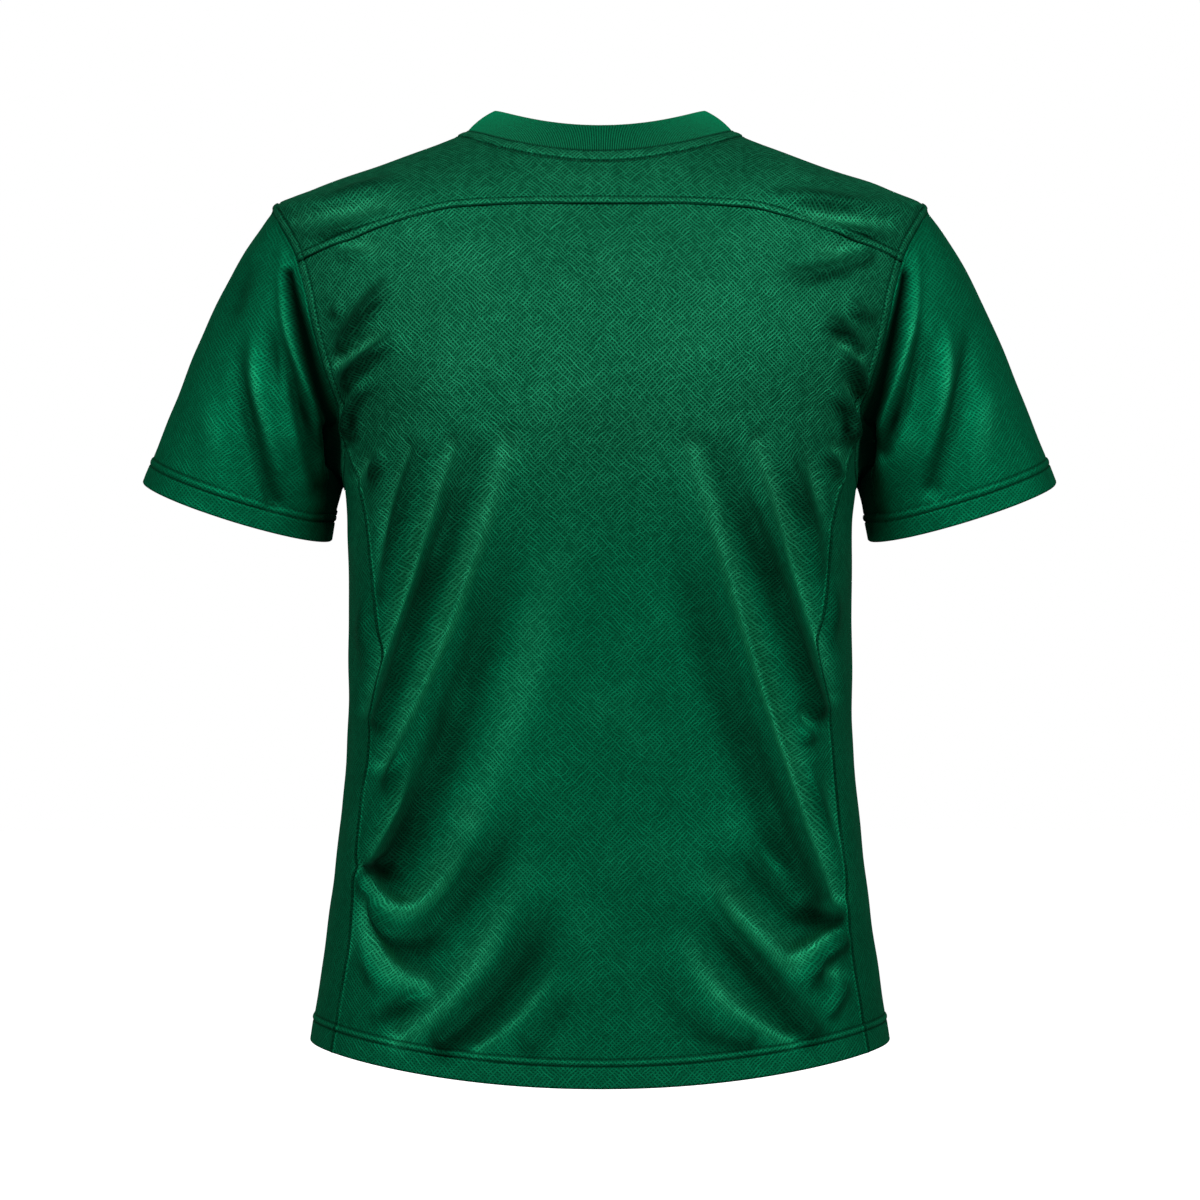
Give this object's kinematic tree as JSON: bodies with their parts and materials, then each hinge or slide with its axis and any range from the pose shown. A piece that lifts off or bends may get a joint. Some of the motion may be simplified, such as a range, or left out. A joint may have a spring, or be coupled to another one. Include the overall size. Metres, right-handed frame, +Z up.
{
  "type": "short-sleeved football jersey",
  "caption": "Short-sleeved knit jersey with a curved back yoke, side panels, set-in sleeves and a ribbed collar, filled out as it is worn and open at neck, cuffs and hem.",
  "frame": {"origin": "middle of the neck, level with the ends of the shoulder seams, where the shoulders carry the jersey", "axes": "+Z up along the body, +Y out of the wearer's back, +X to the wearer's left"},
  "size_m": [0.688, 0.253, 0.7198],
  "materials": {
    "body_knit": "fine performance knit with a soft satin sheen",
    "rib_knit": "matt ribbed knit",
    "thread": "matt polyester sewing thread"
  },
  "bodies": {
    "root": {"back_panel": "body_knit", "back_yoke": "body_knit", "front_panel": "body_knit", "side_panel_left": "body_knit", "side_panel_right": "body_knit", "sleeve_left": "body_knit", "sleeve_right": "body_knit", "collar": "rib_knit"}
  },
  "joints": []
}
